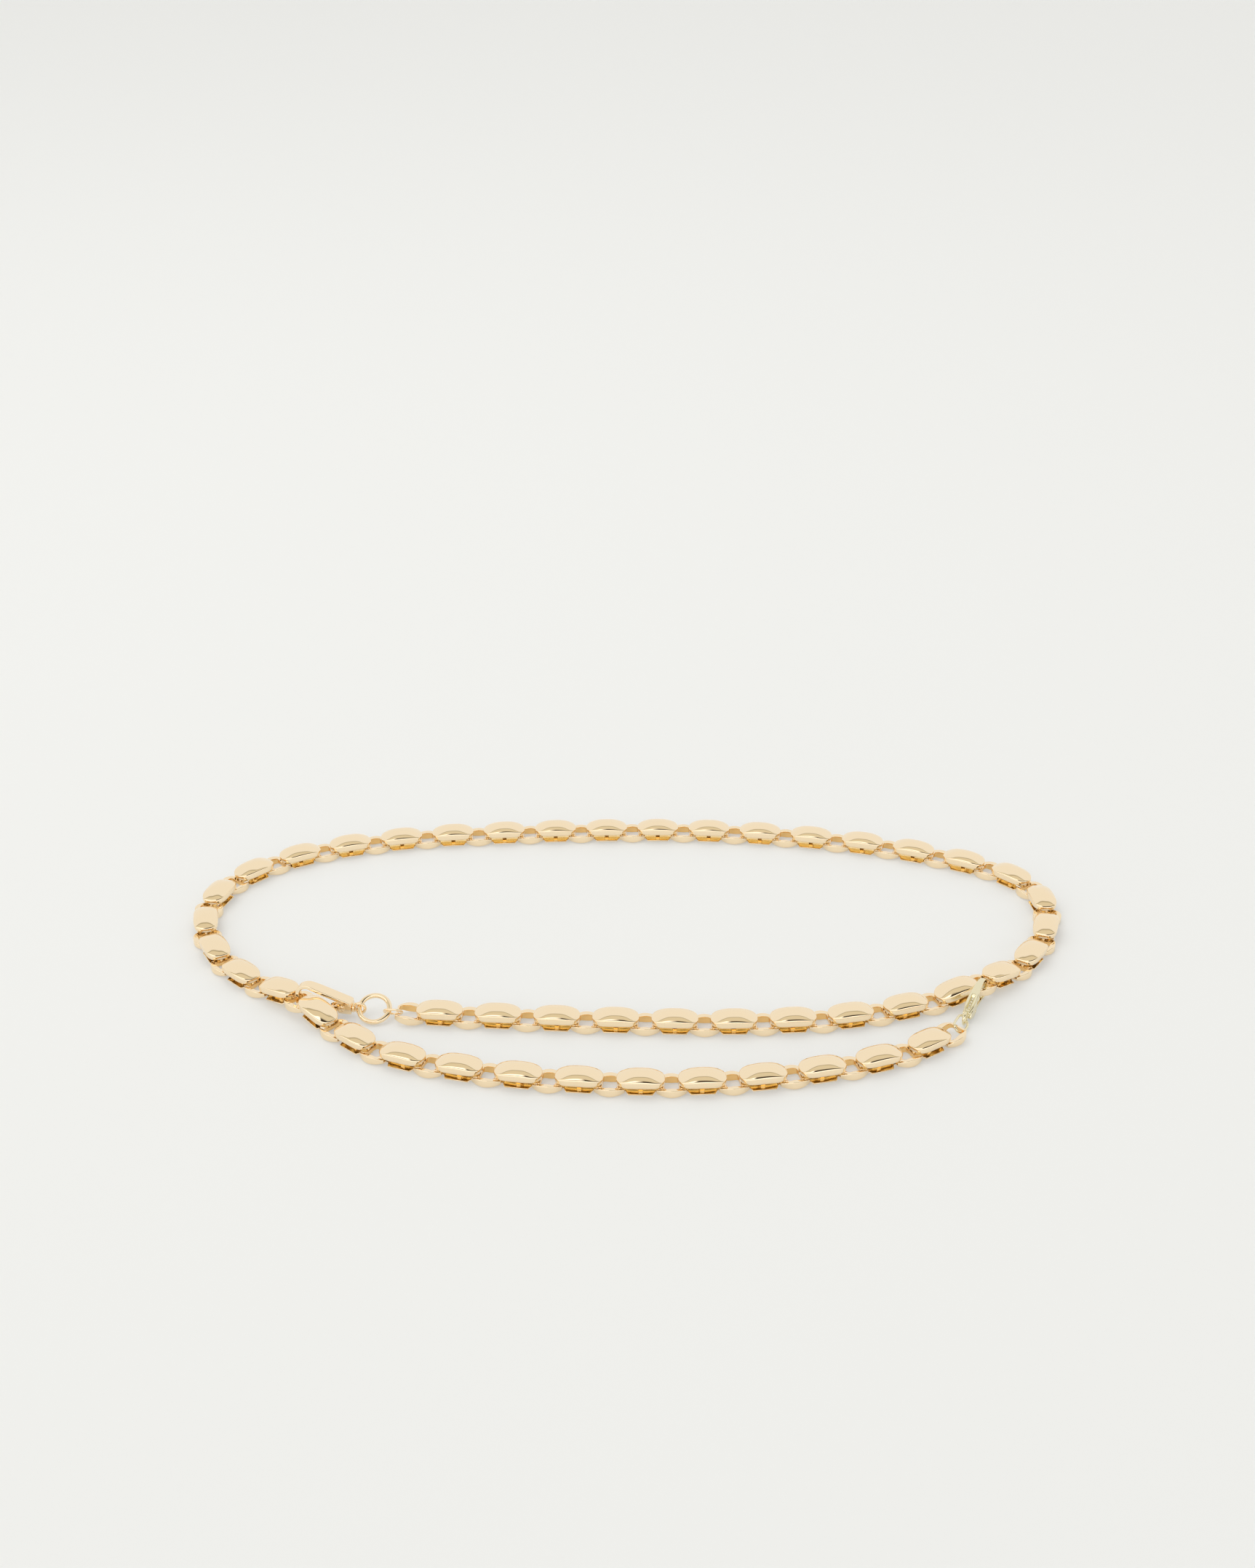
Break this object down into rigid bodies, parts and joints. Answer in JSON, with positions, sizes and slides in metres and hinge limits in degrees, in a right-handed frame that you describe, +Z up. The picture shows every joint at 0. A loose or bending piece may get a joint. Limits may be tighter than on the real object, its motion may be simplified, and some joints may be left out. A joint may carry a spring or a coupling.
{
  "type": "chain necklace",
  "caption": "Long belt-length chain necklace of domed oval links and flat ring connectors, closed by a swivel snap hook and a lobster clasp.",
  "frame": {"origin": "centre of the whole laid-out chain, at the table surface", "axes": "+Z up; +X along the rows toward the lobster clasp side; +Y from the draped front row toward the back row"},
  "size_m": [0.3176, 0.1778, 0.0114],
  "materials": {
    "gold": "mirror polished pale gold plating",
    "pale_gold": "polished pale greenish gold plating",
    "spring_steel": "bare spring steel"
  },
  "bodies": {
    "link_01": {"link_01": "gold"},
    "link_02": {"link_02": "gold"},
    "link_03": {"link_03": "gold"},
    "link_04": {"link_04": "gold"},
    "link_05": {"link_05": "gold"},
    "link_06": {"link_06": "gold"},
    "link_07": {"link_07": "gold"},
    "link_08": {"link_08": "gold"},
    "link_09": {"link_09": "gold"},
    "link_10": {"link_10": "gold"},
    "link_11": {"link_11": "gold"},
    "link_12": {"link_12": "gold"},
    "link_13": {"link_13": "gold"},
    "link_14": {"link_14": "gold"},
    "link_15": {"link_15": "gold"},
    "link_16": {"link_16": "gold"},
    "link_17": {"link_17": "gold"},
    "link_18": {"link_18": "gold"},
    "link_19": {"link_19": "gold"},
    "link_20": {"link_20": "gold"},
    "link_21": {"link_21": "gold"},
    "link_22": {"link_22": "gold"},
    "link_23": {"link_23": "gold"},
    "link_24": {"link_24": "gold"},
    "link_25": {"link_25": "gold"},
    "link_26": {"link_26": "gold"},
    "link_27": {"link_27": "gold"},
    "link_28": {"link_28": "gold"},
    "link_29": {"link_29": "gold"},
    "link_30": {"link_30": "gold"},
    "link_31": {"link_31": "gold"},
    "link_32": {"link_32": "gold"},
    "link_33": {"link_33": "gold"},
    "link_34": {"link_34": "gold"},
    "link_35": {"link_35": "gold"},
    "link_36": {"link_36": "gold"},
    "link_37": {"link_37": "gold"},
    "link_38": {"link_38": "gold"},
    "link_39": {"link_39": "gold"},
    "link_40": {"link_40": "gold"},
    "link_41": {"link_41": "gold"},
    "link_42": {"link_42": "gold"},
    "link_43": {"link_43": "gold"},
    "link_44": {"link_44": "gold"},
    "link_45": {"link_45": "gold"},
    "link_46": {"link_46": "gold"},
    "link_47": {"link_47": "gold"},
    "end_connector": {"end_connector": "gold"},
    "jump_ring_a": {"jump_ring_a": "gold"},
    "big_ring": {"big_ring": "gold"},
    "swivel_bow": {"swivel_bow": "gold"},
    "hook": {"hook_body": "gold", "gate_rivet": "gold", "gate_spring": "spring_steel"},
    "hook_gate": {"hook_gate": "gold"},
    "jump_ring_b": {"jump_ring_b": "pale_gold"},
    "lobster": {"lobster_body": "pale_gold", "lobster_pin": "pale_gold", "lobster_spring": "spring_steel"},
    "lobster_lever": {"lobster_lever": "pale_gold"}
  },
  "joints": [
    {"name": "turn_21", "type": "hinge", "parent": "link_22", "child": "link_21", "pos_m": [0.01866, 0.08384, 0.00165], "axis": [0, 0, 1], "range_deg": [-6, 6]},
    {"name": "turn_20", "type": "hinge", "parent": "link_21", "child": "link_20", "pos_m": [0.03863, 0.08274, 0.00165], "axis": [0, 0, 1], "range_deg": [-10.1, 10.1]},
    {"name": "turn_19", "type": "hinge", "parent": "link_20", "child": "link_19", "pos_m": [0.05848, 0.08033, 0.00165], "axis": [0, 0, 1], "range_deg": [-0.7, 0.7]},
    {"name": "turn_18", "type": "hinge", "parent": "link_19", "child": "link_18", "pos_m": [0.07813, 0.07662, 0.00165], "axis": [0, 0, 1], "range_deg": [-4.1, 4.1]},
    {"name": "turn_17", "type": "hinge", "parent": "link_18", "child": "link_17", "pos_m": [0.09753, 0.07176, 0.00165], "axis": [0, 0, 1], "range_deg": [-4.2, 4.2]},
    {"name": "turn_16", "type": "hinge", "parent": "link_17", "child": "link_16", "pos_m": [0.11632, 0.06493, 0.00165], "axis": [0, 0, 1], "range_deg": [-3.5, 3.5]},
    {"name": "turn_15", "type": "hinge", "parent": "link_16", "child": "link_15", "pos_m": [0.1344, 0.05639, 0.00165], "axis": [0, 0, 1], "range_deg": [-6, 6]},
    {"name": "turn_14", "type": "hinge", "parent": "link_15", "child": "link_14", "pos_m": [0.14937, 0.04333, 0.00165], "axis": [0, 0, 1], "range_deg": [-11.1, 11.1]},
    {"name": "turn_13", "type": "hinge", "parent": "link_14", "child": "link_13", "pos_m": [0.15418, 0.02413, 0.00165], "axis": [0, 0, 1], "range_deg": [-1.4, 1.4]},
    {"name": "turn_12", "type": "hinge", "parent": "link_13", "child": "link_12", "pos_m": [0.14979, 0.00468, 0.00165], "axis": [0, 0, 1], "range_deg": [-5.4, 5.4]},
    {"name": "turn_11", "type": "hinge", "parent": "link_12", "child": "link_11", "pos_m": [0.13956, -0.01243, 0.00165], "axis": [0, 0, 1], "range_deg": [-3.1, 3.1]},
    {"name": "turn_10", "type": "hinge", "parent": "link_11", "child": "link_10", "pos_m": [0.12526, -0.02613, 0.00385], "axis": [0, 0, 1], "range_deg": [-4.7, 4.7]},
    {"name": "turn_09", "type": "hinge", "parent": "link_10", "child": "link_09", "pos_m": [0.10768, -0.03528, 0.0018], "axis": [0, 0, 1], "range_deg": [-6, 6]},
    {"name": "turn_08", "type": "hinge", "parent": "link_09", "child": "link_08", "pos_m": [0.08891, -0.04216, 0.00165], "axis": [0, 0, 1], "range_deg": [-12.8, 12.8]},
    {"name": "turn_07", "type": "hinge", "parent": "link_08", "child": "link_07", "pos_m": [0.06948, -0.04684, 0.00165], "axis": [0, 0, 1], "range_deg": [-2.4, 2.4]},
    {"name": "turn_06", "type": "hinge", "parent": "link_07", "child": "link_06", "pos_m": [0.04958, -0.04879, 0.00165], "axis": [0, 0, 1], "range_deg": [-5.6, 5.6]},
    {"name": "turn_05", "type": "hinge", "parent": "link_06", "child": "link_05", "pos_m": [0.02959, -0.04942, 0.00165], "axis": [0, 0, 1], "range_deg": [-3.2, 3.2]},
    {"name": "turn_04", "type": "hinge", "parent": "link_05", "child": "link_04", "pos_m": [0.0096, -0.04893, 0.00165], "axis": [0, 0, 1], "range_deg": [-4.3, 4.3]},
    {"name": "turn_03", "type": "hinge", "parent": "link_04", "child": "link_03", "pos_m": [-0.01038, -0.048, 0.00165], "axis": [0, 0, 1], "range_deg": [-6, 6]},
    {"name": "turn_02", "type": "hinge", "parent": "link_03", "child": "link_02", "pos_m": [-0.03035, -0.0468, 0.00165], "axis": [0, 0, 1], "range_deg": [-12.1, 12.1]},
    {"name": "turn_01", "type": "hinge", "parent": "link_02", "child": "link_01", "pos_m": [-0.05029, -0.04529, 0.00165], "axis": [0, 0, 1], "range_deg": [-6.1, 6.1]},
    {"name": "turn_22", "type": "hinge", "parent": "link_22", "child": "link_23", "pos_m": [-0.00134, 0.08381, 0.00165], "axis": [0, 0, 1], "range_deg": [-6, 6]},
    {"name": "turn_23", "type": "hinge", "parent": "link_23", "child": "link_24", "pos_m": [-0.02133, 0.08332, 0.00165], "axis": [0, 0, 1], "range_deg": [-8.5, 8.5]},
    {"name": "turn_24", "type": "hinge", "parent": "link_24", "child": "link_25", "pos_m": [-0.0413, 0.08222, 0.00165], "axis": [0, 0, 1], "range_deg": [-1.9, 1.9]},
    {"name": "turn_25", "type": "hinge", "parent": "link_25", "child": "link_26", "pos_m": [-0.06123, 0.08055, 0.00165], "axis": [0, 0, 1], "range_deg": [-2.7, 2.7]},
    {"name": "turn_26", "type": "hinge", "parent": "link_26", "child": "link_27", "pos_m": [-0.08107, 0.07808, 0.00165], "axis": [0, 0, 1], "range_deg": [-4.2, 4.2]},
    {"name": "turn_27", "type": "hinge", "parent": "link_27", "child": "link_28", "pos_m": [-0.10053, 0.07349, 0.00165], "axis": [0, 0, 1], "range_deg": [-2.5, 2.5]},
    {"name": "turn_28", "type": "hinge", "parent": "link_28", "child": "link_29", "pos_m": [-0.11942, 0.06693, 0.00165], "axis": [0, 0, 1], "range_deg": [-6, 6]},
    {"name": "turn_29", "type": "hinge", "parent": "link_29", "child": "link_30", "pos_m": [-0.13648, 0.05656, 0.00165], "axis": [0, 0, 1], "range_deg": [-8.3, 8.3]},
    {"name": "turn_30", "type": "hinge", "parent": "link_30", "child": "link_31", "pos_m": [-0.1492, 0.04127, 0.00165], "axis": [0, 0, 1], "range_deg": [-1.7, 1.7]},
    {"name": "turn_31", "type": "hinge", "parent": "link_31", "child": "link_32", "pos_m": [-0.15406, 0.02201, 0.00165], "axis": [0, 0, 1], "range_deg": [-2.5, 2.5]},
    {"name": "turn_32", "type": "hinge", "parent": "link_32", "child": "link_33", "pos_m": [-0.14985, 0.00253, 0.00165], "axis": [0, 0, 1], "range_deg": [-3.2, 3.2]},
    {"name": "turn_33", "type": "hinge", "parent": "link_33", "child": "link_34", "pos_m": [-0.13956, -0.01457, 0.00165], "axis": [0, 0, 1], "range_deg": [-1.3, 1.3]},
    {"name": "turn_34", "type": "hinge", "parent": "link_34", "child": "link_35", "pos_m": [-0.12467, -0.02783, 0.0018], "axis": [0, 0, 1], "range_deg": [-3, 3]},
    {"name": "turn_35", "type": "hinge", "parent": "link_35", "child": "link_36", "pos_m": [-0.10949, -0.04055, 0.00385], "axis": [0, 0, 1], "range_deg": [-6, 2]},
    {"name": "turn_36", "type": "hinge", "parent": "link_36", "child": "link_37", "pos_m": [-0.09564, -0.05475, 0.00165], "axis": [0, 0, 1], "range_deg": [-4.1, 12]},
    {"name": "turn_37", "type": "hinge", "parent": "link_37", "child": "link_38", "pos_m": [-0.07995, -0.06701, 0.00165], "axis": [0, 0, 1], "range_deg": [-2.3, 0.8]},
    {"name": "turn_38", "type": "hinge", "parent": "link_38", "child": "link_39", "pos_m": [-0.06123, -0.07401, 0.00165], "axis": [0, 0, 1], "range_deg": [-4.7, 1.6]},
    {"name": "turn_39", "type": "hinge", "parent": "link_39", "child": "link_40", "pos_m": [-0.04183, -0.07884, 0.00165], "axis": [0, 0, 1], "range_deg": [-2.6, 0.9]},
    {"name": "turn_40", "type": "hinge", "parent": "link_40", "child": "link_41", "pos_m": [-0.02207, -0.08188, 0.00165], "axis": [0, 0, 1], "range_deg": [-1.2, 3.4]},
    {"name": "turn_41", "type": "hinge", "parent": "link_41", "child": "link_42", "pos_m": [-0.00214, -0.08356, 0.00165], "axis": [0, 0, 1], "range_deg": [-6, 6]},
    {"name": "turn_42", "type": "hinge", "parent": "link_42", "child": "link_43", "pos_m": [0.01785, -0.0838, 0.00165], "axis": [0, 0, 1], "range_deg": [-6.8, 6.8]},
    {"name": "turn_43", "type": "hinge", "parent": "link_43", "child": "link_44", "pos_m": [0.03778, -0.0821, 0.00165], "axis": [0, 0, 1], "range_deg": [-2.8, 2.8]},
    {"name": "turn_44", "type": "hinge", "parent": "link_44", "child": "link_45", "pos_m": [0.05743, -0.0784, 0.00165], "axis": [0, 0, 1], "range_deg": [-0.3, 0.3]},
    {"name": "turn_45", "type": "hinge", "parent": "link_45", "child": "link_46", "pos_m": [0.07674, -0.07323, 0.00165], "axis": [0, 0, 1], "range_deg": [-2.4, 2.4]},
    {"name": "turn_46", "type": "hinge", "parent": "link_46", "child": "link_47", "pos_m": [0.09515, -0.06547, 0.00165], "axis": [0, 0, 1], "range_deg": [-3, 3]},
    {"name": "end_connector_turn", "type": "hinge", "parent": "link_01", "child": "end_connector", "pos_m": [-0.0702, -0.04344, 0.00165], "axis": [0, 0, 1], "range_deg": [-2, 2]},
    {"name": "jump_ring_a_turn", "type": "hinge", "parent": "end_connector", "child": "jump_ring_a", "pos_m": [-0.07825, -0.04269, 0.00273], "axis": [0, 0, 1], "range_deg": [-2.2, 2.2]},
    {"name": "big_ring_turn", "type": "hinge", "parent": "jump_ring_a", "child": "big_ring", "pos_m": [-0.08059, -0.04247, 0.00345], "axis": [0, 0, 1], "range_deg": [-1.5, 1.5]},
    {"name": "swivel_bow_turn", "type": "hinge", "parent": "big_ring", "child": "swivel_bow", "pos_m": [-0.09089, -0.0415, 0.00345], "axis": [0, 0, 1], "range_deg": [-1.6, 1.6]},
    {"name": "hook_swivel", "type": "hinge", "parent": "swivel_bow", "child": "hook", "pos_m": [-0.09089, -0.0415, 0.00345], "axis": [-0.9844, 0.176, 0], "range_deg": [-4, 4]},
    {"name": "gate_press", "type": "hinge", "parent": "hook", "child": "hook_gate", "pos_m": [-0.0967, -0.04047, 0.0039], "axis": [0.176, 0.9844, 0], "range_deg": [0, 2], "stiffness_Nm_per_rad": 0.0002, "springref_deg": -2.86},
    {"name": "jump_ring_b_turn", "type": "hinge", "parent": "link_47", "child": "jump_ring_b", "pos_m": [0.11171, -0.05221, 0.0027], "axis": [0, 0, 1], "range_deg": [-0.2, 0.2]},
    {"name": "lobster_turn", "type": "hinge", "parent": "jump_ring_b", "child": "lobster", "pos_m": [0.11455, -0.04659, 0], "axis": [0, 0, 1], "range_deg": [-2.2, 2.2]},
    {"name": "lever_press", "type": "hinge", "parent": "lobster", "child": "lobster_lever", "pos_m": [0.11736, -0.04095, 0.0023], "axis": [0.895, -0.4461, 0], "range_deg": [0, 3], "stiffness_Nm_per_rad": 0.0002, "springref_deg": -2.86}
  ],
  "couplings": [
    {"joint": "turn_20", "follows": "turn_21", "ratio": -1.6749},
    {"joint": "turn_19", "follows": "turn_21", "ratio": -0.0973},
    {"joint": "turn_18", "follows": "turn_21", "ratio": 0.6591},
    {"joint": "turn_17", "follows": "turn_21", "ratio": 0.6881},
    {"joint": "turn_16", "follows": "turn_21", "ratio": -0.5749},
    {"joint": "turn_14", "follows": "turn_15", "ratio": -1.8391},
    {"joint": "turn_13", "follows": "turn_15", "ratio": 0.2223},
    {"joint": "turn_12", "follows": "turn_15", "ratio": 0.8865},
    {"joint": "turn_11", "follows": "turn_15", "ratio": 0.492},
    {"joint": "turn_10", "follows": "turn_15", "ratio": -0.7616},
    {"joint": "turn_08", "follows": "turn_09", "ratio": -2.1181},
    {"joint": "turn_07", "follows": "turn_09", "ratio": 0.3845},
    {"joint": "turn_06", "follows": "turn_09", "ratio": 0.9164},
    {"joint": "turn_05", "follows": "turn_09", "ratio": 0.5128},
    {"joint": "turn_04", "follows": "turn_09", "ratio": -0.6956},
    {"joint": "turn_02", "follows": "turn_03", "ratio": -2},
    {"joint": "turn_01", "follows": "turn_03", "ratio": 1},
    {"joint": "turn_23", "follows": "turn_22", "ratio": -1.4028},
    {"joint": "turn_24", "follows": "turn_22", "ratio": -0.3083},
    {"joint": "turn_25", "follows": "turn_22", "ratio": 0.4331},
    {"joint": "turn_26", "follows": "turn_22", "ratio": 0.6756},
    {"joint": "turn_27", "follows": "turn_22", "ratio": -0.3976},
    {"joint": "turn_29", "follows": "turn_28", "ratio": -1.3612},
    {"joint": "turn_30", "follows": "turn_28", "ratio": -0.2671},
    {"joint": "turn_31", "follows": "turn_28", "ratio": 0.4082},
    {"joint": "turn_32", "follows": "turn_28", "ratio": 0.5155},
    {"joint": "turn_33", "follows": "turn_28", "ratio": 0.1945},
    {"joint": "turn_34", "follows": "turn_28", "ratio": -0.4899},
    {"joint": "turn_36", "follows": "turn_35", "ratio": -1.9901},
    {"joint": "turn_37", "follows": "turn_35", "ratio": 0.363},
    {"joint": "turn_38", "follows": "turn_35", "ratio": 0.7636},
    {"joint": "turn_39", "follows": "turn_35", "ratio": 0.4089},
    {"joint": "turn_40", "follows": "turn_35", "ratio": -0.5454},
    {"joint": "turn_42", "follows": "turn_41", "ratio": -1.1219},
    {"joint": "turn_43", "follows": "turn_41", "ratio": -0.4494},
    {"joint": "turn_44", "follows": "turn_41", "ratio": 0.0397},
    {"joint": "turn_45", "follows": "turn_41", "ratio": 0.3893},
    {"joint": "turn_46", "follows": "turn_41", "ratio": 0.4775},
    {"joint": "jump_ring_a_turn", "follows": "end_connector_turn", "ratio": -1.0528},
    {"joint": "big_ring_turn", "follows": "end_connector_turn", "ratio": -0.7158},
    {"joint": "swivel_bow_turn", "follows": "end_connector_turn", "ratio": 0.7685},
    {"joint": "jump_ring_b_turn", "follows": "turn_41", "ratio": 0.0165},
    {"joint": "lobster_turn", "follows": "turn_41", "ratio": -0.3516}
  ]
}
